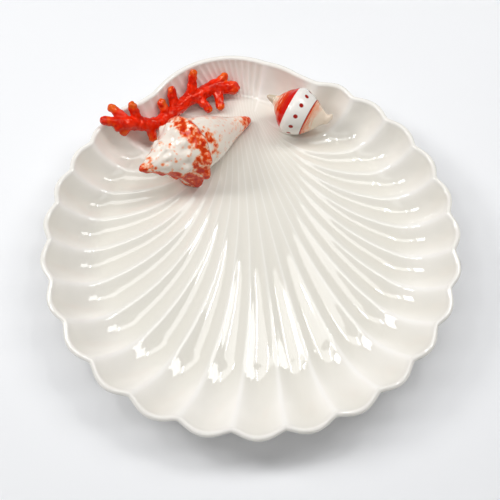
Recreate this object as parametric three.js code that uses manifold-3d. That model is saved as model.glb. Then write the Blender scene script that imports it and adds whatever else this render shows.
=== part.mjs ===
// Scallop-shell serving dish with three glazed ornaments bedded beside its hinge.
// Millimetres, +Z up, the hinge bulge towards +Y, the dish resting on its foot ring at z = 0.
import * as THREE from 'three';
import { mergeVertices } from 'three/addons/utils/BufferGeometryUtils.js';
import Module from 'manifold-3d';

const wasm = await Module();
wasm.setup();
const DEGREE = Math.PI / 180;

// Outline of the dish from above: a round fan with a smaller round hinge bulge blended into it
const FAN_RADIUS = 146;
const HINGE_RADIUS = 65;
const HINGE_OFFSET = 98.3;
const HINGE_BLEND = 4;

// Section of the dish: height of the ridges on the floor, height of the inner rim edge, thickness
const FLOOR_HEIGHT = 10.5;
const EDGE_HEIGHT = 35;
const WALL = 4.6;
const RIM_INSET = 0.88 * WALL;
const WALL_RUN = 37;
const WALL_FLARE = 18;
const WALL_CURVE = 2.2;

// Flutes: channels between ridges that leave an arched neck below the hinge and fan out to the rim
const FLUTES = 24;
const HINGE_FLUTES = 18;
const HINGE_SCOOP = 0.25;
const SCOOP_DEPTH = 0.5;
const FIRST_RIDGE = 60.1 * DEGREE;
const LAST_RIDGE = -243.2 * DEGREE;
const RIDGE_TURN = -1.6 * DEGREE;
const RIDGE_SPREAD = 4.8 * DEGREE;
const RIDGE_WANDER = -2.7 * DEGREE;
const HINGE_SPREAD = 0.3;
const NECK_X = 10.9;
const NECK_Y = 105.7;
const NECK_RADIUS = 22.5;
const NECK_SWEEP = 1.17;
const FAN_SPREAD = 0.3;
const HINGE_TURN = 3;
const START_REACH = 0.66;
const END_REACH = 0.08;
const FLOOR_FLUTE = 0.11;
const RIM_FLUTE = 0.155;
const WALL_FLUTE = 0.06;
const RIDGE_ROUND = 0.14;
const NECK_START = 0.04;
const NECK_FADE = 0.45;
const HINGE_FLUTE = 0.6;
const HINGE_FADE = 4;
const RIM_LEAN = 3;

// Mesh steps of the dish
const STEPS_PER_FLUTE = 4;
const TOP_RINGS = 10;
const UNDER_RINGS = 5;
const LIP_STEPS = 4;
const RING_POWER = 1.3;

// Foot ring under the floor
const FOOT_OUTER = 78;
const FOOT_INNER = 71;
const FOOT_TOP = 6.6;
const FOOT_EASE = 1.2;
const FOOT_SIDES = 48;

// Seats of the ornaments: a bed of bonding slip with a hairline gap on both faces
const GAP = 0.3;
const BED = 1.2;
const BED_SIDES = 20;
const WHELK_BED_RADIUS = 7;
const BANDED_BED_RADIUS = 6.5;
const CORAL_BED_RADIUS = 3;

const lerp = THREE.MathUtils.lerp;

function outlineRadius(angle) {
  const turn = angle - Math.PI / 2;
  const across = HINGE_OFFSET * Math.sin(turn);
  const along = HINGE_OFFSET * Math.cos(turn);
  const reaches = Math.abs(across) < HINGE_RADIUS && along > 0;
  const bulge = reaches ? along + Math.sqrt(HINGE_RADIUS ** 2 - across ** 2) : 0;
  return (FAN_RADIUS + bulge + Math.hypot(FAN_RADIUS - bulge, HINGE_BLEND)) / 2;
}

function edgeRadius(angle) {
  return outlineRadius(angle) - RIM_INSET;
}

// Share of the wall's climb at a place: 0 on the floor, 1 at the rim edge
function wallShare(x, y) {
  const angle = Math.atan2(y, x);
  const run = WALL_RUN - WALL_FLARE * Math.sin(angle);
  return Math.max(0, 1 - (edgeRadius(angle) - Math.hypot(x, y)) / run);
}

function ridgeHeight(x, y) {
  return lerp(FLOOR_HEIGHT, EDGE_HEIGHT, wallShare(x, y) ** WALL_CURVE);
}

function ridgeNormal(x, y) {
  const step = 0.5;
  const dx = (ridgeHeight(x + step, y) - ridgeHeight(x - step, y)) / (2 * step);
  const dy = (ridgeHeight(x, y + step) - ridgeHeight(x, y - step)) / (2 * step);
  return new THREE.Vector3(-dx, -dy, 1).normalize();
}

// A place over the dish: its bearing round the fan, its way in from the rim edge, its height
// over the ridges
function overDish(bearing, inset, lift) {
  const reach = edgeRadius(bearing * DEGREE) - inset;
  const x = reach * Math.cos(bearing * DEGREE);
  const y = reach * Math.sin(bearing * DEGREE);
  return new THREE.Vector3(x, y, Math.min(EDGE_HEIGHT, ridgeHeight(x, y)) + lift);
}

// Rim angle at which a flute line ends, for a share from right to left of the fan or of the hinge
function fanAngle(share) {
  const wave = Math.PI * share;
  const even = RIDGE_TURN * Math.sin(wave) + RIDGE_WANDER * Math.sin(3 * wave);
  return lerp(FIRST_RIDGE, LAST_RIDGE, share) + even + RIDGE_SPREAD * Math.sin(2 * wave);
}

function hingeAngle(share) {
  const spread = share + HINGE_SPREAD * Math.sin(2 * Math.PI * share) / (2 * Math.PI);
  return lerp(FIRST_RIDGE, LAST_RIDGE + 2 * Math.PI, spread);
}

// Plan position on a flute line: a curve from the neck arch to the rim edge
function flutePlan(onHinge, share, t) {
  const side = 1 - 2 * share;
  const sweep = NECK_SWEEP * side;
  const neck = new THREE.Vector2(Math.sin(sweep), Math.cos(sweep)).multiplyScalar(NECK_RADIUS);
  neck.add(new THREE.Vector2(NECK_X, NECK_Y));
  const hingeBend = (Math.PI - FAN_SPREAD) * Math.abs(side) ** HINGE_TURN;
  const fanBend = Math.PI - FAN_SPREAD * Math.abs(side);
  const bend = onHinge ? hingeBend : fanBend;
  const heading = new THREE.Vector2(Math.sign(side) * Math.sin(bend), Math.cos(bend));
  const angle = onHinge ? hingeAngle(share) : fanAngle(share);
  const outward = new THREE.Vector2(Math.cos(angle), Math.sin(angle));
  const rim = outward.clone().multiplyScalar(edgeRadius(angle));
  const span = rim.distanceTo(neck);
  const leave = neck.clone().addScaledVector(heading, START_REACH * span);
  const arrive = rim.clone().addScaledVector(outward, -END_REACH * span);
  return new THREE.CubicBezierCurve(neck, leave, arrive, rim).getPoint(t);
}

// Hollow of one channel: 0 on its ridges, 1 along its middle
function channel(fraction) {
  const rise = Math.hypot(Math.sin(Math.PI * fraction), RIDGE_ROUND) - RIDGE_ROUND;
  return rise / (Math.hypot(1, RIDGE_ROUND) - RIDGE_ROUND);
}

// The hinge has one broad scoop next to the fan's first ridge, then fine flutes that fade at the rim
function fluteDepth(onHinge, share, t) {
  const fine = onHinge && share >= HINGE_SCOOP;
  const fineCount = HINGE_FLUTES / (1 - HINGE_SCOOP);
  const broadCount = onHinge ? 1 / HINGE_SCOOP : FLUTES;
  const count = fine ? fineCount : broadCount;
  const start = fine ? HINGE_SCOOP : 0;
  const half = 0.5 / count;
  const near = flutePlan(onHinge, Math.min(1, share + half), t);
  const far = flutePlan(onHinge, Math.max(0, share - half), t);
  const here = flutePlan(onHinge, share, t);
  const climb = wallShare(here.x, here.y);
  const ratio = lerp(FLOOR_FLUTE, RIM_FLUTE, climb) + WALL_FLUTE * Math.sin(Math.PI * Math.min(1, climb));
  const broadDepth = onHinge ? SCOOP_DEPTH : 1;
  const rimFade = fine ? HINGE_FLUTE * (1 - t ** HINGE_FADE) : broadDepth;
  const neckFade = THREE.MathUtils.smoothstep(t, NECK_START, NECK_FADE);
  return near.distanceTo(far) * ratio * neckFade * rimFade * channel((share - start) * count);
}

// One place on the dish: its glazed top, the normal of its plain section and the way out along the wall
function dishPlace(onHinge, share, t) {
  const plan = flutePlan(onHinge, share, t);
  const normal = ridgeNormal(plan.x, plan.y);
  const lean = 1 + RIM_LEAN * wallShare(plan.x, plan.y);
  const hollow = new THREE.Vector3(normal.x * lean, normal.y * lean, normal.z).normalize();
  const top = new THREE.Vector3(plan.x, plan.y, ridgeHeight(plan.x, plan.y));
  top.addScaledVector(hollow, -fluteDepth(onHinge, share, t));
  const out = new THREE.Vector3(-normal.x, -normal.y, 0).normalize();
  const along = out.multiplyScalar(normal.z).setZ(Math.hypot(normal.x, normal.y));
  return { top, normal, along };
}

function closedGeometry(points, triangles) {
  const geometry = new THREE.BufferGeometry();
  const numbers = points.flatMap((point) => point.toArray());
  geometry.setAttribute('position', new THREE.Float32BufferAttribute(numbers, 3));
  geometry.setIndex(triangles.flat());
  return geometry;
}

function toSolid(geometry) {
  const bare = geometry.clone();
  bare.deleteAttribute('normal');
  bare.deleteAttribute('uv');
  const merged = mergeVertices(bare, 1e-4);
  const vertProperties = new Float32Array(merged.attributes.position.array);
  const triVerts = new Uint32Array(merged.index.array);
  return new wasm.Manifold(new wasm.Mesh({ numProp: 3, vertProperties, triVerts }));
}

function toGeometry(solid) {
  const mesh = solid.getMesh();
  const geometry = new THREE.BufferGeometry();
  geometry.setAttribute('position', new THREE.Float32BufferAttribute(mesh.vertProperties, 3));
  geometry.setIndex(Array.from(mesh.triVerts));
  return geometry;
}

// Dish: rings of places from the neck to the rim, over the rounded lip and back to the neck below
function dishGeometry() {
  const steps = FLUTES * STEPS_PER_FLUTE;
  const around = 2 * steps;
  const points = [];
  const triangles = [];
  const shareAt = (s) => (s <= steps ? s / steps : (around - s) / steps);
  const placeAt = (s, t) => dishPlace(s > steps, shareAt(s), t);
  const ringTime = (ring, rings) => (ring / rings) ** RING_POWER;
  const addRing = (makePoint) => {
    const start = points.length;
    for (let s = 0; s < around; s++) points.push(makePoint(s));
    return (s) => start + (s % around);
  };
  const addNeck = (makePoint) => {
    const start = points.length;
    for (let s = 0; s <= steps; s++) points.push(makePoint(s));
    return (s) => start + (s % around <= steps ? s % around : around - (s % around));
  };
  const below = (place) => place.top.clone().addScaledVector(place.normal, -WALL);
  const lipPoint = (place, turn) => {
    const middle = place.top.clone().addScaledVector(place.normal, -WALL / 2);
    middle.addScaledVector(place.normal, WALL / 2 * Math.cos(turn));
    return middle.addScaledVector(place.along, WALL / 2 * Math.sin(turn));
  };
  const rings = [addNeck((s) => placeAt(s, 0).top)];
  for (let ring = 1; ring <= TOP_RINGS; ring++) {
    rings.push(addRing((s) => placeAt(s, ringTime(ring, TOP_RINGS)).top));
  }
  for (let step = 1; step < LIP_STEPS; step++) {
    rings.push(addRing((s) => lipPoint(placeAt(s, 1), Math.PI * step / LIP_STEPS)));
  }
  for (let ring = UNDER_RINGS; ring > 0; ring--) {
    rings.push(addRing((s) => below(placeAt(s, ringTime(ring, UNDER_RINGS)))));
  }
  rings.push(addNeck((s) => below(placeAt(s, 0))));
  for (let ring = 0; ring + 1 < rings.length; ring++) {
    const [inner, outer] = [rings[ring], rings[ring + 1]];
    for (let s = 0; s < around; s++) {
      const [a, b, c, d] = [inner(s), inner(s + 1), outer(s), outer(s + 1)];
      const firstHalf = (s % steps) * 2 < steps;
      const under = ring > TOP_RINGS;
      const pair = firstHalf !== under ? [[a, b, d], [a, d, c]] : [[a, b, c], [b, d, c]];
      triangles.push(...pair.filter(([p, q, r]) => p !== q && q !== r && r !== p));
    }
  }
  return closedGeometry(points, triangles);
}

function footGeometry() {
  const profile = new THREE.Shape();
  profile.moveTo(FOOT_INNER + FOOT_EASE, 0);
  profile.lineTo(FOOT_OUTER - FOOT_EASE, 0);
  profile.quadraticCurveTo(FOOT_OUTER, 0, FOOT_OUTER, FOOT_EASE);
  profile.lineTo(FOOT_OUTER, FOOT_TOP);
  profile.lineTo(FOOT_INNER, FOOT_TOP);
  profile.lineTo(FOOT_INNER, FOOT_EASE);
  profile.quadraticCurveTo(FOOT_INNER, 0, FOOT_INNER + FOOT_EASE, 0);
  return new THREE.LatheGeometry(profile.getPoints(2), FOOT_SIDES).rotateX(Math.PI / 2);
}

const dishSolid = toSolid(dishGeometry()).add(toSolid(footGeometry()));
const bedFloor = dishSolid.translate([0, 0, GAP]);
const bedRoof = dishSolid.translate([0, 0, GAP + BED]);
const seatDrops = [0, WALL / 2, WALL, 3 * WALL / 2, 2 * WALL];
const seatLayers = seatDrops.map((drop) => dishSolid.translate([0, 0, 2 * GAP + BED - drop]));
const seat = seatLayers.reduce((whole, layer) => whole.add(layer));

// A shell turned about its own axis, apex first: its radius swells with the turn, its end drifts aside
function turnedShell(profile, stations, sides, swell, drift) {
  const curve = new THREE.SplineCurve(profile.map(([along, radius]) => new THREE.Vector2(along, radius)));
  const length = profile.at(-1)[0];
  const points = [new THREE.Vector3(0, 0, 0)];
  const triangles = [];
  for (let i = 1; i < stations; i++) {
    const place = curve.getPoint(i / stations);
    for (let j = 0; j < sides; j++) {
      const turn = 2 * Math.PI * j / sides;
      const radius = place.y * (1 + swell(place.x, turn));
      const aside = drift(place.x) + radius * Math.cos(turn);
      points.push(new THREE.Vector3(place.x, aside, radius * Math.sin(turn)));
    }
  }
  const last = points.push(new THREE.Vector3(length, drift(length), 0)) - 1;
  const vertex = (i, j) => (i === 0 ? 0 : i === stations ? last : 1 + (i - 1) * sides + j % sides);
  for (let i = 0; i < stations; i++) {
    for (let j = 0; j < sides; j++) {
      if (i < stations - 1) triangles.push([vertex(i, j), vertex(i + 1, j + 1), vertex(i + 1, j)]);
      if (i > 0) triangles.push([vertex(i, j), vertex(i, j + 1), vertex(i + 1, j + 1)]);
    }
  }
  return closedGeometry(points, triangles);
}

// Lay a shell turned along +X so that its axis runs from its apex to the given tip
function layShell(geometry, apex, tip) {
  const heading = new THREE.Vector3().subVectors(tip, apex).normalize();
  const side = new THREE.Vector3(-heading.y, heading.x, 0).normalize();
  const upward = new THREE.Vector3().crossVectors(heading, side);
  const frame = new THREE.Matrix4().makeBasis(heading, side, upward);
  return geometry.applyMatrix4(frame.setPosition(apex));
}

// A round bed of slip that follows the flutes under a place
function bed(place, radius) {
  const height = EDGE_HEIGHT + FLOOR_HEIGHT;
  const column = new THREE.CylinderGeometry(radius, radius, height, BED_SIDES).rotateX(Math.PI / 2);
  column.translate(place.x, place.y, height / 2);
  return toSolid(column).intersect(bedRoof).subtract(bedFloor);
}

// Whelk: a spire of beaded whorls, a knobbed shoulder with a flared lip, a body drawn out to a canal
const WHELK_APEX_BEARING = 140.7;
const WHELK_APEX_INSET = 47.6;
const WHELK_APEX_LIFT = 36.5;
const WHELK_TIP_BEARING = 81.1;
const WHELK_TIP_INSET = 40.4;
const WHELK_TIP_LIFT = 3.5;
const WHELK_APEX = overDish(WHELK_APEX_BEARING, WHELK_APEX_INSET, WHELK_APEX_LIFT);
const WHELK_TIP = overDish(WHELK_TIP_BEARING, WHELK_TIP_INSET, WHELK_TIP_LIFT);
const WHELK_LENGTH = WHELK_APEX.distanceTo(WHELK_TIP);
const WHELK_SHOULDER = 44;
const SHOULDER_RADIUS = 26;
const SHOULDER_FADE = 8;
const WHELK_SEAT = 40;
const WHELK_STATIONS = 30;
const WHELK_SIDES = 42;
const WHELK_WHORLS = 4;
const WHORL_CROWDING = 0.75;
const WHORL_SWELL = 0.06;
const WHELK_BEADS = 11.5;
const BEAD_SWELL = 0.12;
const LIP_TURN = 240 * DEGREE;
const LIP_SPREAD = 0.3;
const LIP_SWELL = 0.22;
const LIP_RISE = 4;
const LIP_FADE = 4;
const WHELK_PROFILE = [
  [0, 0], [2.5, 2.4], [11, 6.4], [22, 12.4], [32, 18], [WHELK_SHOULDER - 4, SHOULDER_RADIUS - 2.5],
  [WHELK_SHOULDER + 1.5, SHOULDER_RADIUS], [WHELK_SHOULDER + 7, SHOULDER_RADIUS - 4.5],
  [WHELK_SHOULDER + 13, SHOULDER_RADIUS - 5.5], [70, 17.5], [90, 9.5],
  [WHELK_LENGTH - 3, 3.6], [WHELK_LENGTH, 0],
];

function whelkSwell(along, turn) {
  const share = Math.min(1, along / WHELK_SHOULDER);
  const phase = WHELK_WHORLS * share ** WHORL_CROWDING + turn / (2 * Math.PI);
  const whorl = Math.sin(Math.PI * phase) ** 2;
  const bead = 0.5 + 0.5 * Math.cos(WHELK_BEADS * turn + Math.PI * Math.floor(phase));
  const onSpire = 1 - THREE.MathUtils.smoothstep(along, WHELK_SHOULDER, WHELK_SHOULDER + SHOULDER_FADE);
  const onLip = 1 - THREE.MathUtils.smoothstep(along, WHELK_SHOULDER, WHELK_SHOULDER + LIP_FADE);
  const lip = LIP_SWELL * Math.exp(-(((turn - LIP_TURN) / LIP_SPREAD) ** 2)) * share ** LIP_RISE;
  return onSpire * (WHORL_SWELL * (whorl - 0.5) + BEAD_SWELL * bead * whorl ** 2) + onLip * lip;
}

const whelkTurned = turnedShell(WHELK_PROFILE, WHELK_STATIONS, WHELK_SIDES, whelkSwell, () => 0);
const whelkSolid = toSolid(layShell(whelkTurned, WHELK_APEX, WHELK_TIP)).subtract(seat);
const whelkSeat = WHELK_APEX.clone().lerp(WHELK_TIP, WHELK_SEAT / WHELK_LENGTH);

// Banded shell: a narrow spire tip, a swelling round body and a drawn-out blunt end bent to one side
const BANDED_APEX_BEARING = 75;
const BANDED_TIP_BEARING = 50.4;
const BANDED_INSET = 25.5;
const BANDED_APEX_LIFT = 22.5;
const BANDED_TIP_LIFT = 14;
const BANDED_APEX = overDish(BANDED_APEX_BEARING, BANDED_INSET, BANDED_APEX_LIFT);
const BANDED_TIP = overDish(BANDED_TIP_BEARING, BANDED_INSET, BANDED_TIP_LIFT);
const BANDED_LENGTH = BANDED_APEX.distanceTo(BANDED_TIP);
const BANDED_SHOULDER = 21;
const BANDED_RADIUS = 18.9;
const BANDED_STATIONS = 17;
const BANDED_SIDES = 28;
const SPIRE_START = 8;
const SPIRE_SWELL = 0.06;
const SPIRE_PITCH = 3;
const BEND_START = 32;
const BEND_DRIFT = 9.5;
const BANDED_PROFILE = [
  [0, 0], [1.5, 1.7], [SPIRE_START, 4.2], [SPIRE_START + 3, 7.8], [SPIRE_START + 8, 13.5],
  [BANDED_SHOULDER, BANDED_RADIUS - 1.3], [BANDED_SHOULDER + 5, BANDED_RADIUS], [36, 15.3], [44, 8.6],
  [BANDED_LENGTH - 5, 4.7], [BANDED_LENGTH - 1.5, 4.2], [BANDED_LENGTH, 0],
];

function bandedSwell(along, turn) {
  const onTip = THREE.MathUtils.smoothstep(along, 0, SPIRE_START);
  const pastSpire = THREE.MathUtils.smoothstep(along, SPIRE_START + 6, BANDED_SHOULDER);
  return SPIRE_SWELL * (onTip - pastSpire) * Math.abs(Math.sin(along / SPIRE_PITCH + turn / 2));
}

function bandedDrift(along) {
  return BEND_DRIFT * (Math.max(0, along - BEND_START) / (BANDED_LENGTH - BEND_START)) ** 2;
}

const bandedTurned = turnedShell(
  BANDED_PROFILE, BANDED_STATIONS, BANDED_SIDES, bandedSwell, bandedDrift);
const bandedSolid = toSolid(layShell(bandedTurned, BANDED_APEX, BANDED_TIP)).subtract(seat);
const bandedSeat = BANDED_APEX.clone().lerp(BANDED_TIP, BANDED_SHOULDER / BANDED_LENGTH);

// Coral: a bent stem with blunt twigs, each a tapered round-ended limb between two joints.
// A joint is its bearing in degrees, then its inset and lift over the dish in stem radii.
const STEM_RADIUS = 5.2;
const TWIG_ROOT = 4.1;
const TWIG_TIP = 3.2;
const LIMB_SIDES = 8;
const coralJoint = ([bearing, inset, lift]) => overDish(bearing, inset * STEM_RADIUS, lift * STEM_RADIUS);
const STEM = [
  [125, 1.05, 2.15], [121.5, 1.55, 1.95], [117.9, 2.2, 1.6], [114.3, 2.5, 1.45], [109.6, 2.6, 1.5],
  [101, 2.65, 1.4], [97, 2.8, 1.35], [92.3, 2.4, 1.5], [86.4, 2.85, 1.35],
].map(coralJoint);
const TWIGS = [
  [[125, 1.05, 2.15], [129.9, -1, 1.1]],
  [[123.9, 1.2, 2.2], [125.3, -1.7, 1.2]],
  [[120.8, 1.6, 1.9], [120.5, 0.15, 1.85]],
  [[124.7, 1.3, 2.1], [126.9, 1.3, 1.4]],
  [[125, 1.05, 2.15], [127.9, 0.75, 1.55]],
  [[117.5, 2.3, 1.6], [118.8, 3.5, 0.9]],
  [[110.5, 2.5, 1.5], [110.8, 1.1, 1.6]],
  [[107.3, 2.6, 1.6], [106, 0.95, 1.7]],
  [[100.2, 2.6, 1.6], [98, 0.8, 1.7]],
  [[98.5, 2.75, 1.5], [95.7, 5.4, 0.9]],
  [[91.4, 2.5, 1.5], [91.5, 5.7, 0.9]],
  [[91.4, 2.4, 1.6], [88.8, 1.55, 1.35]],
].map((ends) => ends.map(coralJoint));

function limb(start, end, rootRadius, tipRadius) {
  const length = start.distanceTo(end);
  const round = Math.SQRT1_2;
  const profile = [
    [0, -rootRadius], [round * rootRadius, -round * rootRadius], [rootRadius, 0], [tipRadius, length],
    [round * tipRadius, length + round * tipRadius], [0, length + tipRadius],
  ].map(([radius, along]) => new THREE.Vector2(radius, along));
  const turn = new THREE.Quaternion().setFromUnitVectors(
    new THREE.Vector3(0, 1, 0), end.clone().sub(start).normalize());
  const geometry = new THREE.LatheGeometry(profile, LIMB_SIDES).applyQuaternion(turn);
  return toSolid(geometry.translate(start.x, start.y, start.z));
}

const stemLimbs = STEM.slice(1).map((to, i) => limb(STEM[i], to, STEM_RADIUS, STEM_RADIUS));
const twigLimbs = TWIGS.map(([root, tip]) => limb(root, tip, TWIG_ROOT, TWIG_TIP));
const coralSolid = [...stemLimbs, ...twigLimbs].reduce((whole, piece) => whole.add(piece)).subtract(seat);

// A limb touches the sloping wall on its outer side, so each bed sits that far out from the limb's axis
function limbBed(start, end, limbRadius) {
  const middle = start.clone().lerp(end, 0.5).setZ(0);
  return bed(middle.setLength(middle.length() + limbRadius), CORAL_BED_RADIUS);
}

const IVORY = { color: 0xe6dfd0, roughness: 0.12, metalness: 0 };
const SLIP = { color: 0xcfc6b6, roughness: 0.7, metalness: 0 };
const pieces = [
  ['dish_body', dishSolid, IVORY],
  ['whelk_shell', whelkSolid, { color: 0xeadccb, roughness: 0.15, metalness: 0 }],
  ['banded_shell', bandedSolid, { color: 0xe8a183, roughness: 0.15, metalness: 0 }],
  ['coral_branch', coralSolid, { color: 0xc2331a, roughness: 0.18, metalness: 0 }],
  ['whelk_bed', bed(whelkSeat, WHELK_BED_RADIUS), SLIP],
  ['banded_shell_bed', bed(bandedSeat, BANDED_BED_RADIUS), SLIP],
  ['coral_rim_bed', limbBed(...TWIGS[0], TWIG_TIP / 2), SLIP],
  ['coral_wall_bed', limbBed(STEM[3], STEM[4], Math.SQRT1_2 * STEM_RADIUS), SLIP],
  ['coral_hinge_bed', limbBed(STEM[7], STEM[8], Math.SQRT1_2 * STEM_RADIUS), SLIP],
];

const group = new THREE.Group();
group.name = 'shell_plate';
for (const [name, solid, look] of pieces) {
  const mesh = new THREE.Mesh(toGeometry(solid), new THREE.MeshStandardMaterial(look));
  mesh.name = name;
  group.add(mesh);
}

// Put the origin under the middle of the whole piece, at the height of the foot ring
const box = new THREE.Box3().setFromObject(group);
const middle = box.getCenter(new THREE.Vector3());
for (const mesh of group.children) mesh.geometry.translate(-middle.x, -middle.y, -box.min.z);

export default group;
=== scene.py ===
import math

import bmesh
import bpy
from mathutils import Matrix, Vector, noise
from mathutils.bvhtree import BVHTree


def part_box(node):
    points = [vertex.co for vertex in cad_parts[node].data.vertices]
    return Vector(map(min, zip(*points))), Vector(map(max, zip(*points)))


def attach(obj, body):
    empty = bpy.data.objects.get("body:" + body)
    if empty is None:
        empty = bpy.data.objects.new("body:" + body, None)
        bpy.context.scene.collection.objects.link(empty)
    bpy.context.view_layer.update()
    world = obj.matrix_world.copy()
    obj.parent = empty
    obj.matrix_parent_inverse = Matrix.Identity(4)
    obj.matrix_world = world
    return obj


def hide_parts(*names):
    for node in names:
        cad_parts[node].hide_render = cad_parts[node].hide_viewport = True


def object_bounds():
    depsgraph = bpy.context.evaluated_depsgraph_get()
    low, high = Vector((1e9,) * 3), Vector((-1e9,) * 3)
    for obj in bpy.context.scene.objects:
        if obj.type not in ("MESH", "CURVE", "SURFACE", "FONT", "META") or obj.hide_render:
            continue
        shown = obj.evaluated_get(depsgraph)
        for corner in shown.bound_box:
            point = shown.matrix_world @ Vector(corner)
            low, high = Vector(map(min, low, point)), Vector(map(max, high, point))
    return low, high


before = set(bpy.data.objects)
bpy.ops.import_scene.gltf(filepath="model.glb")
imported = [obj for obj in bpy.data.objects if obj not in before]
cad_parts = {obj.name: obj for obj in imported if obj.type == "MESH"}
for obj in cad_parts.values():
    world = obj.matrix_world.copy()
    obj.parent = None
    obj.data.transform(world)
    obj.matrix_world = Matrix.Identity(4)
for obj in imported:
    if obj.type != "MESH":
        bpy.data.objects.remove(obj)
cad_low, cad_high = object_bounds()

# Dish: one slip-cast scallop of ivory earthenware, 4.6 mm thick, with 24 channels that fan from an arched
# neck to the scalloped rim, a scoop and 18 fine flutes on the hinge wall. A clear cream glaze covers all but
# the foot ring, which is cast on below and wiped bare before firing.
fan_centre = Vector((0.000301, -0.006899, 0.0))
fan_radius = 0.146
hinge_radius = 0.065
hinge_offset = 0.0983
hinge_blend = 0.004
floor_height = 0.0105
edge_height = 0.035
wall = 0.0046
rim_inset = 0.88 * wall
wall_run = 0.037
wall_flare = 0.018
wall_curve = 2.2
slope_step = 0.0005
weld_gap = 1e-6

flutes = 24
hinge_flutes = 18
hinge_scoop = 0.25
scoop_depth = 0.5
first_ridge = math.radians(60.1)
last_ridge = math.radians(-243.2)
ridge_turn = math.radians(-1.6)
ridge_spread = math.radians(4.8)
ridge_wander = math.radians(-2.7)
hinge_spread = 0.3
neck = Vector((0.0109, 0.1057))
neck_radius = 0.0225
neck_sweep = 1.17
fan_spread = 0.3
hinge_turn = 3
start_reach = 0.66
end_reach = 0.08
floor_flute = 0.11
rim_flute = 0.155
wall_flute = 0.06
ridge_round = 0.14
neck_start = 0.04
neck_fade = 0.45
hinge_flute = 0.6
hinge_fade = 4
rim_lean = 3


def lerp(low, high, share):
    return low + (high - low) * share


def smooth_share(value, low, high):
    share = min(1.0, max(0.0, (value - low) / (high - low)))
    return share * share * (3 - 2 * share)


def edge_radius(bearing):
    across = hinge_offset * math.sin(bearing - math.pi / 2)
    along = hinge_offset * math.cos(bearing - math.pi / 2)
    reaches = abs(across) < hinge_radius and along > 0
    bulge = along + math.sqrt(hinge_radius ** 2 - across ** 2) if reaches else 0.0
    return (fan_radius + bulge + math.hypot(fan_radius - bulge, hinge_blend)) / 2 - rim_inset


def wall_share(x, y):
    bearing = math.atan2(y, x)
    run = wall_run - wall_flare * math.sin(bearing)
    return max(0.0, 1 - (edge_radius(bearing) - math.hypot(x, y)) / run)


def ridge_height(x, y):
    return lerp(floor_height, edge_height, wall_share(x, y) ** wall_curve)


def ridge_normal(x, y):
    climb_x = ridge_height(x + slope_step, y) - ridge_height(x - slope_step, y)
    climb_y = ridge_height(x, y + slope_step) - ridge_height(x, y - slope_step)
    return Vector((-climb_x, -climb_y, 2 * slope_step)).normalized()


def rim_bearing(on_hinge, share):
    if on_hinge:
        spread = share + hinge_spread * math.sin(2 * math.pi * share) / (2 * math.pi)
        return lerp(first_ridge, last_ridge + 2 * math.pi, spread)
    wave = math.pi * share
    uneven = ridge_turn * math.sin(wave) + ridge_wander * math.sin(3 * wave)
    return lerp(first_ridge, last_ridge, share) + uneven + ridge_spread * math.sin(2 * wave)


def flute_line(on_hinge, share, reach):
    side = 1 - 2 * share
    sweep = neck_sweep * side
    start = neck + neck_radius * Vector((math.sin(sweep), math.cos(sweep)))
    bend = math.pi - fan_spread * abs(side)
    if on_hinge:
        bend = (math.pi - fan_spread) * abs(side) ** hinge_turn
    heading = Vector((math.copysign(math.sin(bend), side), math.cos(bend)))
    bearing = rim_bearing(on_hinge, share)
    outward = Vector((math.cos(bearing), math.sin(bearing)))
    end = outward * edge_radius(bearing)
    span = (end - start).length
    leave = start + heading * start_reach * span
    arrive = end - outward * end_reach * span
    back = 1 - reach
    inner = start * back ** 3 + leave * 3 * back ** 2 * reach
    return inner + arrive * 3 * back * reach ** 2 + end * reach ** 3


def channel_hollow(fraction):
    rise = math.hypot(math.sin(math.pi * fraction), ridge_round) - ridge_round
    return rise / (math.hypot(1, ridge_round) - ridge_round)


def dish_place(on_hinge, share, reach):
    fine = on_hinge and share >= hinge_scoop
    count = 1 / hinge_scoop if on_hinge else flutes
    if fine:
        count = hinge_flutes / (1 - hinge_scoop)
    plan = flute_line(on_hinge, share, reach)
    near = flute_line(on_hinge, min(1.0, share + 0.5 / count), reach)
    far = flute_line(on_hinge, max(0.0, share - 0.5 / count), reach)
    climb = wall_share(plan.x, plan.y)
    hollow = channel_hollow((share - hinge_scoop if fine else share) * count)
    ratio = lerp(floor_flute, rim_flute, climb) + wall_flute * math.sin(math.pi * min(1.0, climb))
    depth = (near - far).length * ratio * smooth_share(reach, neck_start, neck_fade) * hollow
    if fine:
        depth *= hinge_flute * (1 - reach ** hinge_fade)
    elif on_hinge:
        depth *= scoop_depth
    normal = ridge_normal(plan.x, plan.y)
    lean = 1 + rim_lean * climb
    sink = Vector((normal.x * lean, normal.y * lean, normal.z)).normalized()
    top = Vector((plan.x, plan.y, ridge_height(plan.x, plan.y))) - sink * depth
    return top, normal, hollow, climb


def lip_place(top, normal, turn):
    outward = Vector((-normal.x, -normal.y, 0)).normalized() * normal.z
    along = Vector((outward.x, outward.y, math.hypot(normal.x, normal.y)))
    return top + wall / 2 * (normal * (math.cos(turn) - 1) + along * math.sin(turn))


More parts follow.
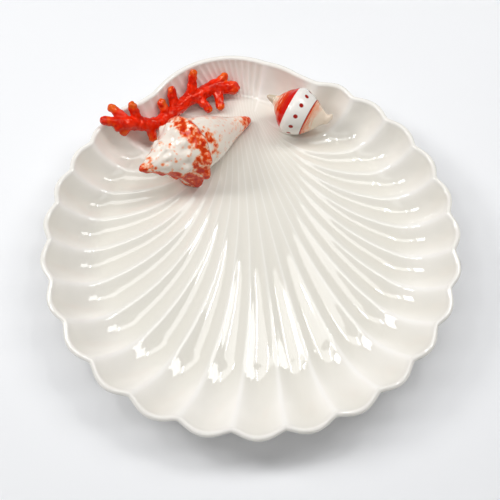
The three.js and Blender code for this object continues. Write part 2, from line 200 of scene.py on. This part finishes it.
half_columns = 240
top_rows = 90
lip_rows = 10
under_rows = 30
dish_rows = top_rows + lip_rows + under_rows
row_crowding = 1.3
under_hollow = 0.5
dish_mesh = bmesh.new()
bmesh.ops.create_grid(dish_mesh, x_segments=2 * half_columns, y_segments=dish_rows, size=0.5)
hollow_layer = dish_mesh.verts.layers.float.new("hollow")
climb_layer = dish_mesh.verts.layers.float.new("climb")
for vert in dish_mesh.verts:
    column = round((vert.co.x + 0.5) * 2 * half_columns)
    row = round((vert.co.y + 0.5) * dish_rows)
    on_hinge = column > half_columns
    share = (2 * half_columns - column if on_hinge else column) / half_columns
    lip_roll = math.pi * min(1.0, max(0.0, (row - top_rows) / lip_rows))
    reach = min(1.0, row / top_rows, (dish_rows - row) / under_rows) ** row_crowding
    top, normal, hollow, climb = dish_place(on_hinge, share, reach)
    on_top = row <= top_rows
    if reach == 1.0:
        vert.co = fan_centre + lip_place(top, normal, lip_roll)
    else:
        vert.co = fan_centre + (top if on_top else top - normal * wall)
    vert[hollow_layer] = hollow if on_top else under_hollow
    vert[climb_layer] = min(1.0, climb)
bmesh.ops.remove_doubles(dish_mesh, verts=dish_mesh.verts, dist=weld_gap)
bmesh.ops.recalc_face_normals(dish_mesh, faces=dish_mesh.faces)
dish_surface = BVHTree.FromBMesh(dish_mesh)

foot_outer = 0.078
foot_inner = 0.071
foot_top = 0.0066
foot_ease = 0.0012
foot_steps = 160
foot_turn = foot_ease * (1 - math.sqrt(0.5))
foot_section = [
    (foot_inner, foot_top), (foot_inner, foot_ease),
    (foot_inner + foot_turn, foot_turn), (foot_inner + foot_ease, 0),
    (foot_outer - foot_ease, 0), (foot_outer - foot_turn, foot_turn),
    (foot_outer, foot_ease), (foot_outer, foot_top),
]
foot_verts = [dish_mesh.verts.new(fan_centre + Vector((radius, 0, z))) for radius, z in foot_section]
foot_edges = [dish_mesh.edges.new((foot_verts[i], foot_verts[i - 1])) for i in range(len(foot_verts))]
bmesh.ops.spin(dish_mesh, geom=foot_verts + foot_edges, cent=fan_centre, axis=(0, 0, 1),
               angle=2 * math.pi, steps=foot_steps, use_merge=True)
bmesh.ops.recalc_face_normals(dish_mesh, faces=dish_mesh.faces)
for face in dish_mesh.faces:
    face.smooth = True


def fired_colour(red, green, blue):
    channels = [value / 255 for value in (red, green, blue)]
    linear = [value / 12.92 if value <= 0.04045 else ((value + 0.055) / 1.055) ** 2.4 for value in channels]
    return linear + [1.0]


def add_node(tree, kind, sockets=None, **settings):
    node = tree.nodes.new(kind)
    for name, value in settings.items():
        setattr(node, name, value)
    for name, value in (sockets or {}).items():
        if isinstance(value, bpy.types.NodeSocket):
            tree.links.new(value, node.inputs[name])
        else:
            node.inputs[name].default_value = value
    return node


def maths(tree, operation, *values):
    return add_node(tree, "ShaderNodeMath", dict(enumerate(values)), operation=operation).outputs[0]


def soft_step(tree, value, low, high):
    sockets = {"Value": value, "From Min": low, "From Max": high}
    return add_node(tree, "ShaderNodeMapRange", sockets, interpolation_type="SMOOTHSTEP").outputs[0]


def blend(tree, share, under, over):
    return add_node(tree, "ShaderNodeMix", {0: share, 6: under, 7: over}, data_type="RGBA").outputs[2]


def cloud(tree, place, scale, detail=2.0):
    sockets = {"Vector": place, "Scale": scale, "Detail": detail}
    return add_node(tree, "ShaderNodeTexNoise", sockets).outputs[0]


# Fired glaze: the slight waviness of a melted surface and its uneven gloss, shared by every glazed piece
patch_size = 0.4
patch_base = 0.5
glaze_index = 1.55
fired_skin = bpy.data.node_groups.new("fired_skin", "ShaderNodeTree")
fired_skin.interface.new_socket("Place", in_out="INPUT", socket_type="NodeSocketVector")
fired_skin.interface.new_socket("Waves", in_out="INPUT", socket_type="NodeSocketFloat")
fired_skin.interface.new_socket("Gloss", in_out="INPUT", socket_type="NodeSocketFloat")
fired_skin.interface.new_socket("Height", in_out="OUTPUT", socket_type="NodeSocketFloat")
fired_skin.interface.new_socket("Roughness", in_out="OUTPUT", socket_type="NodeSocketFloat")
skin_in = add_node(fired_skin, "NodeGroupInput").outputs
skin_out = add_node(fired_skin, "NodeGroupOutput")
skin_height = cloud(fired_skin, skin_in["Place"], skin_in["Waves"], 2.0)
patch_waves = maths(fired_skin, "MULTIPLY", skin_in["Waves"], patch_size)
skin_patch = cloud(fired_skin, skin_in["Place"], patch_waves, 3.0)
skin_gloss = maths(fired_skin, "MULTIPLY", skin_in["Gloss"], maths(fired_skin, "ADD", skin_patch, patch_base))
fired_skin.links.new(skin_height, skin_out.inputs["Height"])
fired_skin.links.new(skin_gloss, skin_out.inputs["Roughness"])


def glazed_material(name, waves, gloss, wave_height, shine):
    material = bpy.data.materials.new(name)
    material.use_nodes = True
    tree = material.node_tree
    shader = tree.nodes["Principled BSDF"]
    place = add_node(tree, "ShaderNodeTexCoord").outputs["Object"]
    skin = add_node(tree, "ShaderNodeGroup", node_tree=fired_skin)
    tree.links.new(place, skin.inputs["Place"])
    skin.inputs["Waves"].default_value = waves
    skin.inputs["Gloss"].default_value = gloss
    bump = add_node(tree, "ShaderNodeBump", {"Height": skin.outputs["Height"], "Distance": wave_height})
    tree.links.new(bump.outputs[0], shader.inputs["Normal"])
    tree.links.new(skin.outputs["Roughness"], shader.inputs["Roughness"])
    shader.inputs["IOR"].default_value = glaze_index
    shader.inputs["Specular IOR Level"].default_value = shine
    return material, tree, shader, place


ivory_floor = fired_colour(226, 223, 214)
painted_light_wall_ivory = fired_colour(247, 244, 238)
ivory_lip = fired_colour(242, 239, 234)
pooled_ivory = fired_colour(222, 218, 207)
thin_glaze_and_highlight_ivory = fired_colour(250, 248, 244)
bare_clay = fired_colour(214, 205, 190)
dish_glaze, tree, shader, place = glazed_material(
    "dish_glaze", waves=28.0, gloss=0.05, wave_height=0.00025, shine=0.5)
hollow_share = add_node(tree, "ShaderNodeAttribute", attribute_name="hollow").outputs["Fac"]
climb_share = add_node(tree, "ShaderNodeAttribute", attribute_name="climb").outputs["Fac"]
wall_light_span = 0.7
lip_tone = 0.94
pool_scale = 14.0
crest_width = 0.25
floor_thinning_and_highlight = 0.3
wall_thinning_and_highlight = 0.5
wiped_foot = 0.0007
wiped_edge = 0.0011
bare_roughness = 0.6
# The walls are painted paler than the floor as painted light: it stands in for light that the lamps do not
# bring to the walls, the hinge wall most of all.
ivory = blend(tree, soft_step(tree, climb_share, 0.0, wall_light_span), ivory_floor, painted_light_wall_ivory)
ivory = blend(tree, soft_step(tree, climb_share, lip_tone, 1.0), ivory, ivory_lip)
pooling = maths(tree, "MULTIPLY", hollow_share, cloud(tree, place, pool_scale, 3.0))
ivory = blend(tree, pooling, ivory, pooled_ivory)
# The ridge crests are painted paler: partly the glaze running thin on the crests, partly a painted highlight
# along them, stronger up the walls.
thinning_and_highlight_share = maths(tree, "ADD", maths(tree, "MULTIPLY", climb_share, wall_thinning_and_highlight), floor_thinning_and_highlight)
crest_thinning_and_highlight = maths(tree, "MULTIPLY", soft_step(tree, hollow_share, crest_width, 0.0), thinning_and_highlight_share)
ivory = blend(tree, crest_thinning_and_highlight, ivory, thin_glaze_and_highlight_ivory)
height = add_node(tree, "ShaderNodeSeparateXYZ", {0: place}).outputs["Z"]
wiped = soft_step(tree, height, wiped_edge, wiped_foot)
glaze_gloss = shader.inputs["Roughness"].links[0].from_socket
bare_gloss = maths(tree, "ADD", glaze_gloss, maths(tree, "MULTIPLY", wiped, bare_roughness))
tree.links.new(bare_gloss, shader.inputs["Roughness"])
tree.links.new(blend(tree, wiped, ivory, bare_clay), shader.inputs["Base Color"])


def show_piece(name, mesh, material):
    for vert in mesh.verts:
        vert.co = [min(max(way, low), high) for way, low, high in zip(vert.co, cad_low, cad_high)]
    data = bpy.data.meshes.new(name)
    mesh.to_mesh(data)
    mesh.free()
    data.materials.append(material)
    piece = bpy.data.objects.new(name, data)
    bpy.context.scene.collection.objects.link(piece)
    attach(piece, "root")
    return piece


dish = show_piece("scallop_dish", dish_mesh, dish_glaze)
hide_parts("dish_body")

# Whelk: a slip-cast spindle shell, glazed white, its knobbed whorls sponged and spattered with iron-red.
# It lies on its side beside the neck, bedded in a spot of slip under the last whorl.
hairline = 0.0002
bed_clear = 0.0018
bed_skirt = 0.0025
drop_height = 0.1
down = Vector((0, 0, -1))


def over_dish(bearing, inset, lift):
    turn = math.radians(bearing)
    reach = edge_radius(turn) - inset
    x, y = reach * math.cos(turn), reach * math.sin(turn)
    return fan_centre + Vector((x, y, min(edge_height, ridge_height(x, y)) + lift))


def settle(mesh, bed_names):
    beds = [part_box(name) for name in bed_names]
    for vert in mesh.verts:
        hit = dish_surface.ray_cast(Vector((vert.co.x, vert.co.y, drop_height)), down)[0]
        if hit is None:
            continue
        clear = hairline
        for low, high in beds:
            away = (vert.co - (low + high) / 2).xy.length - (high.x - low.x) / 2
            over_bed = min(1.0, max(0.0, 1 - away / bed_skirt))
            clear = max(clear, lerp(hairline, bed_clear, over_bed))
        vert.co.z = max(vert.co.z, hit.z + clear)


def profile_place(points, share):
    place = share * (len(points) - 1)
    first = min(int(place), len(points) - 2)
    weight = place - first
    before, start, end, after = [points[min(max(first + i, 0), len(points) - 1)] for i in (-1, 0, 1, 2)]
    found = []
    for p0, p1, p2, p3 in zip(before, start, end, after):
        leave, arrive = (p2 - p0) / 2, (p3 - p1) / 2
        cubic = (2 * p1 - 2 * p2 + leave + arrive) * weight ** 3
        square = (3 * p2 - 3 * p1 - 2 * leave - arrive) * weight ** 2
        found.append(cubic + square + leave * weight + p1)
    return found


def turned_shell(profile, rows, columns, swell, drift):
    shell = bmesh.new()
    bmesh.ops.create_grid(shell, x_segments=rows, y_segments=columns, size=0.5)
    for vert in shell.verts:
        along, radius = profile_place(profile, vert.co.x + 0.5)
        turn = 2 * math.pi * (vert.co.y + 0.5)
        radius *= 1 + swell(along, turn)
        vert.co = (along, drift(along) + radius * math.cos(turn), radius * math.sin(turn))
    bmesh.ops.remove_doubles(shell, verts=shell.verts, dist=weld_gap)
    bmesh.ops.recalc_face_normals(shell, faces=shell.faces)
    for face in shell.faces:
        face.smooth = True
    return shell


def lay_axes(apex, tip):
    heading = (tip - apex).normalized()
    side = Vector((-heading.y, heading.x, 0)).normalized()
    turn = Matrix((heading, side, heading.cross(side))).transposed()
    return Matrix.Translation(apex) @ turn.to_4x4()


whelk_apex = over_dish(bearing=140.7, inset=0.0476, lift=0.0365)
whelk_tip = over_dish(bearing=81.1, inset=0.0404, lift=0.0035)
whelk_length = (whelk_tip - whelk_apex).length
whelk_shoulder = 0.044
shoulder_fade = 0.008
shoulder_radius = 0.026
whelk_whorls = 4
whorl_crowding = 0.75
lip_rise = 4
whelk_beads = 11.5
whorl_swell = 0.06
bead_swell = 0.12
lip_bearing = math.radians(240)
lip_spread = 0.3
lip_swell = 0.22
lip_fade = 0.004
whelk_profile = [
    (0, 0), (0.0025, 0.0024), (0.011, 0.0064), (0.022, 0.0124), (0.032, 0.018), (0.040, 0.0235),
    (0.0455, shoulder_radius), (0.051, 0.0215), (0.057, 0.0205), (0.070, 0.0175), (0.090, 0.0095),
    (whelk_length - 0.003, 0.0036), (whelk_length, 0),
]


def whelk_swell(along, turn):
    share = min(1.0, along / whelk_shoulder)
    phase = whelk_whorls * share ** whorl_crowding + turn / (2 * math.pi)
    whorl = math.sin(math.pi * phase) ** 2
    bead = 0.5 + 0.5 * math.cos(whelk_beads * turn + math.pi * math.floor(phase))
    lip = lip_swell * math.exp(-((turn - lip_bearing) / lip_spread) ** 2) * share ** lip_rise
    lip *= 1 - smooth_share(along, whelk_shoulder, whelk_shoulder + lip_fade)
    on_spire = 1 - smooth_share(along, whelk_shoulder, whelk_shoulder + shoulder_fade)
    return on_spire * (whorl_swell * (whorl - 0.5) + bead_swell * bead * whorl ** 2) + lip


whelk_axes = lay_axes(whelk_apex, whelk_tip)
whelk_mesh = turned_shell(whelk_profile, rows=200, columns=224, swell=whelk_swell, drift=lambda along: 0.0)
bmesh.ops.transform(whelk_mesh, matrix=whelk_axes, verts=whelk_mesh.verts)
settle(whelk_mesh, ["whelk_bed"])


def shell_place(tree, place, axes):
    mapping = {"Vector": place, "Location": axes.translation, "Rotation": axes.to_euler()}
    own = add_node(tree, "ShaderNodeMapping", mapping, vector_type="TEXTURE").outputs[0]
    parts = add_node(tree, "ShaderNodeSeparateXYZ", {0: own}).outputs
    return parts["X"], maths(tree, "ARCTAN2", parts["Z"], parts["Y"])


def zone(tree, value, low, high, soft):
    rise = soft_step(tree, value, low - soft, low + soft)
    return maths(tree, "MULTIPLY", rise, soft_step(tree, value, high + soft, high - soft))


whelk_white = fired_colour(238, 228, 216)
pale_rust = fired_colour(242, 168, 126)
rust = fired_colour(224, 72, 0)
deep_rust = fired_colour(188, 24, 0)
whelk_glaze, tree, shader, place = glazed_material(
    "whelk_glaze", waves=160.0, gloss=0.05, wave_height=0.0003, shine=0.4)
along, turn = shell_place(tree, place, whelk_axes)
sponge = cloud(tree, place, 260.0, 5.0)
stray_width = 0.014
stray = maths(tree, "SUBTRACT", cloud(tree, place, 70.0, 2.0), 0.5)
wander = maths(tree, "MULTIPLY", stray, stray_width)
strayed = maths(tree, "ADD", along, wander)
apex_stain = soft_step(tree, strayed, 0.016, 0.001)
tip_stain = soft_step(tree, strayed, whelk_length - 0.028, whelk_length - 0.006)
ridge_stain = zone(tree, strayed, 0.0365, 0.0495, 0.003)
second_ring = zone(tree, strayed, 0.053, 0.060, 0.003)
second_stain = maths(tree, "MULTIPLY", second_ring, zone(tree, turn, 1.8, 2.9, 0.4))
lip_edge = zone(tree, turn, -3.0, -2.25, 0.14)
edge_stain = maths(tree, "MULTIPLY", lip_edge, soft_step(tree, along, 0.052, 0.046))
edge_weight = 1.2
stain_weight = 0.48
sponge_weight = 1.6
stain = maths(tree, "MAXIMUM", apex_stain, tip_stain)
stain = maths(tree, "MAXIMUM", stain, maths(tree, "MAXIMUM", ridge_stain, second_stain))
stain = maths(tree, "MAXIMUM", stain, maths(tree, "MULTIPLY", edge_stain, edge_weight))
sponged = maths(tree, "MULTIPLY", sponge, sponge_weight)
stain = maths(tree, "ADD", maths(tree, "MULTIPLY", stain, stain_weight), sponged)
stained = soft_step(tree, stain, 0.88, 1.68)
flecks = add_node(tree, "ShaderNodeTexVoronoi", {"Vector": place, "Scale": 210.0, "Randomness": 1.0})
fleck = maths(tree, "MULTIPLY", soft_step(tree, flecks.outputs["Distance"], 0.45, 0.1),
              soft_step(tree, cloud(tree, place, 110.0, 1.0), 0.45, 0.6))
spire_flecks = 0.4
loose_flecks = 0.12
spire_share = soft_step(tree, along, 0.066, 0.05)
fleck_share = maths(tree, "ADD", maths(tree, "MULTIPLY", spire_share, spire_flecks), loose_flecks)
fleck = maths(tree, "MULTIPLY", fleck, fleck_share)
rust_share = maths(tree, "MAXIMUM", stained, fleck)
tone = add_node(tree, "ShaderNodeValToRGB", {0: rust_share})
tone.color_ramp.elements[0].color = whelk_white
tone.color_ramp.elements[1].color = deep_rust
tone.color_ramp.elements.new(0.22).color = pale_rust
tone.color_ramp.elements.new(0.5).color = rust
tree.links.new(tone.outputs[0], shader.inputs["Base Color"])
whelk = show_piece("whelk", whelk_mesh, whelk_glaze)
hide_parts("whelk_shell")

# Banded shell: a small slip-cast top shell, brushed in orange and red round its whorls, with a clean white
# band of hand-set dots round the widest part and a cream, blushed end. It stands on the floor by the hinge
# wall, bedded in a dab of slip.
banded_inset = 0.0255
banded_apex = over_dish(bearing=75, inset=banded_inset, lift=0.0225)
banded_tip = over_dish(bearing=50.4, inset=banded_inset, lift=0.014)
banded_length = (banded_tip - banded_apex).length
spire_start = 0.008
banded_shoulder = 0.021
banded_radius = 0.0189
spire_pitch = 0.003
spire_ease = 0.006
spire_swell = 0.06
bend_start = 0.032
bend_drift = 0.0095
banded_profile = [
    (0, 0), (0.0015, 0.0017), (spire_start, 0.0042), (0.011, 0.0078), (0.016, 0.0135),
    (banded_shoulder, 0.0176), (0.026, banded_radius), (0.036, 0.0153), (0.044, 0.0086),
    (banded_length - 0.005, 0.0047), (banded_length - 0.0015, 0.0042), (banded_length, 0),
]


def banded_swell(along, turn):
    on_tip = smooth_share(along, 0, spire_start)
    past_spire = smooth_share(along, spire_start + spire_ease, banded_shoulder)
    return spire_swell * (on_tip - past_spire) * abs(math.sin(along / spire_pitch + turn / 2))


def banded_drift(along):
    return bend_drift * (max(0.0, along - bend_start) / (banded_length - bend_start)) ** 2


banded_axes = lay_axes(banded_apex, banded_tip)
banded_mesh = turned_shell(banded_profile, rows=150, columns=180, swell=banded_swell, drift=banded_drift)
bmesh.ops.transform(banded_mesh, matrix=banded_axes, verts=banded_mesh.verts)
settle(banded_mesh, ["banded_shell_bed"])

spire_beige = fired_colour(196, 180, 158)
shell_cream = fired_colour(238, 220, 200)
shell_pink = fired_colour(238, 172, 138)
brush_orange = fired_colour(226, 66, 8)
brush_red = fired_colour(204, 12, 0)
band_white = fired_colour(238, 234, 228)
dot_red = fired_colour(160, 24, 14)
banded_glaze, tree, shader, place = glazed_material(
    "banded_glaze", waves=160.0, gloss=0.05, wave_height=0.0002, shine=0.4)
along, turn = shell_place(tree, place, banded_axes)
stroke_stretch = 900.0
stroke_weight = 0.22
stretched = maths(tree, "MULTIPLY", along, stroke_stretch)
stroke_place = add_node(tree, "ShaderNodeCombineXYZ", {0: stretched, 1: turn}).outputs[0]
stroke = maths(tree, "SUBTRACT", cloud(tree, stroke_place, 1.3, 3.0), 0.5)
along_share = maths(tree, "DIVIDE", along, banded_length)
brushed = maths(tree, "ADD", along_share, maths(tree, "MULTIPLY", stroke, stroke_weight))
whorl_tone = add_node(tree, "ShaderNodeValToRGB", {0: brushed})
whorl_tone.color_ramp.elements[0].color = spire_beige
whorl_tone.color_ramp.elements[1].color = shell_cream
whorl_stops = (
    (0.12, spire_beige), (0.14, shell_cream), (0.2, shell_pink), (0.245, brush_orange), (0.32, brush_red),
    (0.6, brush_red), (0.68, brush_orange), (0.73, shell_pink), (0.8, shell_cream),
)
for where, colour in whorl_stops:
    whorl_tone.color_ramp.elements.new(where).color = colour
thin_wash = 0.8
first_suture = zone(tree, along, 0.0103, 0.0107, 0.0003)
suture = maths(tree, "MAXIMUM", first_suture, zone(tree, along, 0.0143, 0.0147, 0.0003))
paint = blend(tree, maths(tree, "MULTIPLY", suture, thin_wash), whorl_tone.outputs[0], brush_orange)
blotch = soft_step(tree, cloud(tree, place, 120.0, 3.0), 0.5, 0.66)
blush = maths(tree, "MULTIPLY", blotch, zone(tree, along, 0.0365, 0.042, 0.002))
paint = blend(tree, maths(tree, "MULTIPLY", blush, thin_wash), paint, shell_pink)
band = zone(tree, along, 0.0205, 0.0363, 0.0002)
paint = blend(tree, band, paint, band_white)
dot_count = 12
dot_radius = 0.0017
dot_line = 0.029
dot_blur = 0.0002
step = maths(tree, "MULTIPLY", turn, dot_count / (2 * math.pi))
off_dot = maths(tree, "SUBTRACT", maths(tree, "FRACT", step), 0.5)
off_round = maths(tree, "MULTIPLY", off_dot, 2 * math.pi * banded_radius / dot_count)
off_along = maths(tree, "SUBTRACT", along, dot_line)
off_square = maths(tree, "ADD", maths(tree, "POWER", off_round, 2.0), maths(tree, "POWER", off_along, 2.0))
dots = soft_step(tree, maths(tree, "SQRT", off_square), dot_radius + dot_blur, dot_radius - dot_blur)
line = zone(tree, along, 0.0362, 0.0369, 0.0001)
paint = blend(tree, maths(tree, "MAXIMUM", dots, line), paint, dot_red)
tree.links.new(paint, shader.inputs["Base Color"])
banded = show_piece("banded_top_shell", banded_mesh, banded_glaze)
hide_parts("banded_shell")

# Coral: a hand-modelled branch of rolled clay fingers pressed onto a bent stem, glazed deep red-orange.
# The glaze wears to orange-yellow on the finger ends, and spots of slip hold it to the rim and the hinge wall.
stem_radius = 0.0052
twig_root = 0.0041
twig_tip = 0.0032
limb_sides = 20
knuckle_detail = 3
join_size = 0.0006
smooth_rounds = 4


def coral_joint(bearing, inset, lift):
    return over_dish(bearing, inset * stem_radius, lift * stem_radius)


stem = [
    (125, 1.05, 2.15), (121.5, 1.55, 1.95), (117.9, 2.2, 1.6), (114.3, 2.5, 1.45), (109.6, 2.6, 1.5),
    (101, 2.65, 1.4), (97, 2.8, 1.35), (92.3, 2.4, 1.5), (86.4, 2.85, 1.35),
]
twigs = [
    ((125, 1.05, 2.15), (129.9, -1, 1.1)),
    ((123.9, 1.2, 2.2), (125.3, -1.7, 1.2)),
    ((120.8, 1.6, 1.9), (120.5, 0.15, 1.85)),
    ((124.7, 1.3, 2.1), (126.9, 1.3, 1.4)),
    ((125, 1.05, 2.15), (127.9, 0.75, 1.55)),
    ((117.5, 2.3, 1.6), (118.8, 3.5, 0.9)),
    ((110.5, 2.5, 1.5), (110.8, 1.1, 1.6)),
    ((107.3, 2.6, 1.6), (106, 0.95, 1.7)),
    ((100.2, 2.6, 1.6), (98, 0.8, 1.7)),
    ((98.5, 2.75, 1.5), (95.7, 5.4, 0.9)),
    ((91.4, 2.5, 1.5), (91.5, 5.7, 0.9)),
    ((91.4, 2.4, 1.6), (88.8, 1.55, 1.35)),
]
limbs = [(start, end, stem_radius, stem_radius) for start, end in zip(stem, stem[1:])]
limbs += [(root, tip, twig_root, twig_tip) for root, tip in twigs]
coral_mesh = bmesh.new()
for start, end, start_radius, end_radius in limbs:
    start, end = coral_joint(*start), coral_joint(*end)
    span = end - start
    axes = Matrix.Translation((start + end) / 2) @ span.to_track_quat("Z", "Y").to_matrix().to_4x4()
    bmesh.ops.create_cone(coral_mesh, cap_ends=True, segments=limb_sides, radius1=start_radius,
                          radius2=end_radius, depth=span.length, matrix=axes)
    for joint, radius in ((start, start_radius), (end, end_radius)):
        bmesh.ops.create_icosphere(coral_mesh, subdivisions=knuckle_detail, radius=radius,
                                   matrix=Matrix.Translation(joint))
coral_data = bpy.data.meshes.new("coral_limbs")
coral_mesh.to_mesh(coral_data)
coral_limbs = bpy.data.objects.new("coral_limbs", coral_data)
bpy.context.scene.collection.objects.link(coral_limbs)
joining = coral_limbs.modifiers.new("joining", "REMESH")
joining.mode = "VOXEL"
joining.voxel_size = join_size
joined = coral_limbs.evaluated_get(bpy.context.evaluated_depsgraph_get()).to_mesh()
coral_mesh.clear()
coral_mesh.from_mesh(joined)
bpy.data.objects.remove(coral_limbs)
for _ in range(smooth_rounds):
    bmesh.ops.smooth_vert(coral_mesh, verts=coral_mesh.verts, factor=0.5,
                          use_axis_x=True, use_axis_y=True, use_axis_z=True)
coral_mesh.normal_update()
tip_layer = coral_mesh.verts.layers.float.new("tip")
tips = [coral_joint(*tip) for _, tip in twigs] + [coral_joint(*stem[-1])]
lump_size = 0.0030
lump_height = 0.0008
plump = 0.0002
tip_length = 0.01
moves = [vert.normal * (plump + lump_height * noise.noise(vert.co / lump_size)) for vert in coral_mesh.verts]
for vert, move in zip(coral_mesh.verts, moves):
    vert.co += move
    vert[tip_layer] = min((vert.co - tip).length for tip in tips) / tip_length
settle(coral_mesh, ["coral_rim_bed", "coral_wall_bed", "coral_hinge_bed"])
for face in coral_mesh.faces:
    face.smooth = True

coral_red = fired_colour(233, 36, 0)
coral_dark = fired_colour(192, 14, 0)
coral_worn = fired_colour(216, 112, 28)
coral_glaze, tree, shader, place = glazed_material(
    "coral_glaze", waves=380.0, gloss=0.05, wave_height=0.0002, shine=0.45)
warm_sheen = fired_colour(255, 205, 180)
worn_strength = 0.8
shader.inputs["Specular Tint"].default_value = warm_sheen
mottle = cloud(tree, place, 150.0, 3.0)
red = blend(tree, soft_step(tree, mottle, 0.25, 0.6), coral_dark, coral_red)
tip_way = add_node(tree, "ShaderNodeAttribute", attribute_name="tip").outputs["Fac"]
worn = maths(tree, "MULTIPLY", soft_step(tree, tip_way, 0.75, 0.1), soft_step(tree, mottle, 0.4, 0.62))
coral_tone = blend(tree, maths(tree, "MULTIPLY", worn, worn_strength), red, coral_worn)
tree.links.new(coral_tone, shader.inputs["Base Color"])
coral = show_piece("coral", coral_mesh, coral_glaze)
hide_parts("coral_branch")

# Beds: dabs of casting slip between the dish and the ornaments, pressed thin as each one was set down.
# They fired hard with the glaze and stay dull, and they are what holds the shells and the coral.
slip_pale = fired_colour(214, 205, 190)
slip_dark = fired_colour(196, 184, 166)
bed_slip = bpy.data.materials.new("bed_slip")
bed_slip.use_nodes = True
tree = bed_slip.node_tree
shader = tree.nodes["Principled BSDF"]
place = add_node(tree, "ShaderNodeTexCoord").outputs["Object"]
grit_scale = 900.0
grit_height = 0.0003
slip_roughness = 0.55
grit_roughness = 0.3
grit = cloud(tree, place, grit_scale, 4.0)
tree.links.new(blend(tree, grit, slip_dark, slip_pale), shader.inputs["Base Color"])
uneven = maths(tree, "MULTIPLY", grit, grit_roughness)
tree.links.new(maths(tree, "ADD", uneven, slip_roughness), shader.inputs["Roughness"])
bump = add_node(tree, "ShaderNodeBump", {"Height": grit, "Distance": grit_height})
tree.links.new(bump.outputs[0], shader.inputs["Normal"])
for name in ("whelk_bed", "banded_shell_bed", "coral_rim_bed", "coral_wall_bed", "coral_hinge_bed"):
    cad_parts[name].data.materials.clear()
    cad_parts[name].data.materials.append(bed_slip)

# Floor: a plain pale studio sheet of paper, faintly uneven in tone, laid wide enough to fill the view.
# It is matt, so that it takes the dish's shadow and shows no reflection.
floor_half = 8.0
floor_roughness = 0.6
floor_shine = 0.2
floor_mesh = bmesh.new()
bmesh.ops.create_grid(floor_mesh, x_segments=8, y_segments=8, size=floor_half)
floor_white = fired_colour(238, 239, 241)
floor_grey = fired_colour(234, 235, 237)
floor_paper = bpy.data.materials.new("floor_paper")
floor_paper.use_nodes = True
tree = floor_paper.node_tree
shader = tree.nodes["Principled BSDF"]
place = add_node(tree, "ShaderNodeTexCoord").outputs["Object"]
floor_tone = blend(tree, cloud(tree, place, 3.0, 2.0), floor_grey, floor_white)
tree.links.new(floor_tone, shader.inputs["Base Color"])
shader.inputs["Roughness"].default_value = floor_roughness
shader.inputs["Specular IOR Level"].default_value = floor_shine
floor_data = bpy.data.meshes.new("floor")
floor_mesh.to_mesh(floor_data)
floor_mesh.free()
floor_data.materials.append(floor_paper)
floor = bpy.data.objects.new("floor", floor_data)
bpy.context.scene.collection.objects.link(floor)

# Light: a long soft box over the hinge with a bright strip near each end, which draw the lines of shine on
# the flutes. Boxes at the left, right and front fill the dish, and a dim white room is all round.
room_level = 0.2
room = bpy.data.worlds.new("room")
bpy.context.scene.world = room
room.use_nodes = True
room.node_tree.nodes["Background"].inputs["Color"].default_value = (1.0, 1.0, 1.0, 1.0)
room.node_tree.nodes["Background"].inputs["Strength"].default_value = room_level


def soft_box(name, place, aim, width, depth, power):
    lamp = bpy.data.lights.new(name, "AREA")
    lamp.shape = "RECTANGLE"
    lamp.size = width
    lamp.size_y = depth
    lamp.energy = power
    box = bpy.data.objects.new(name, lamp)
    box.location = place
    box.rotation_euler = (Vector(aim) - Vector(place)).to_track_quat("-Z", "Y").to_euler()
    bpy.context.scene.collection.objects.link(box)


soft_box("overhead_box", place=(-0.045, 0.27, 1.0), aim=(-0.045, 0.27, 0), width=1.21, depth=0.28, power=3.7)
soft_box("left_strip", place=(-0.45, 0.27, 0.99), aim=(-0.45, 0.27, 0), width=0.05, depth=0.25, power=0.95)
soft_box("right_strip", place=(0.38, 0.27, 0.99), aim=(0.38, 0.27, 0), width=0.05, depth=0.25, power=0.95)
soft_box("left_box", place=(-1.19, 0.475, 1.125), aim=(0, 0, 0), width=0.475, depth=0.475, power=9.6)
soft_box("right_box", place=(0.9, 0.2, 1.1), aim=(0, 0, 0), width=0.45, depth=0.45, power=4.4)
soft_box("front_box", place=(-0.15, -0.7, 1.3), aim=(0, 0, 0), width=1.2, depth=0.5, power=2.9)

# Camera: above and in front of the dish, a little to its left, looking down at about 62 degrees.
# The lens and its distance fit the outline of the dish in the view.
lens = bpy.data.cameras.new("camera")
lens.lens = 71.06
lens.sensor_width = 36.0
camera = bpy.data.objects.new("camera", lens)
view_target = Vector((-0.0027, -0.01913, 0.036))
view_heading = Vector((0.0767, 0.4632, -0.8830))
view_distance = 0.7
camera.location = view_target - view_heading.normalized() * view_distance
camera.rotation_euler = view_heading.to_track_quat("-Z", "Y").to_euler()
bpy.context.scene.collection.objects.link(camera)
bpy.context.scene.camera = camera
bpy.context.scene.view_settings.view_transform = "Standard"

bpy.context.view_layer.update()
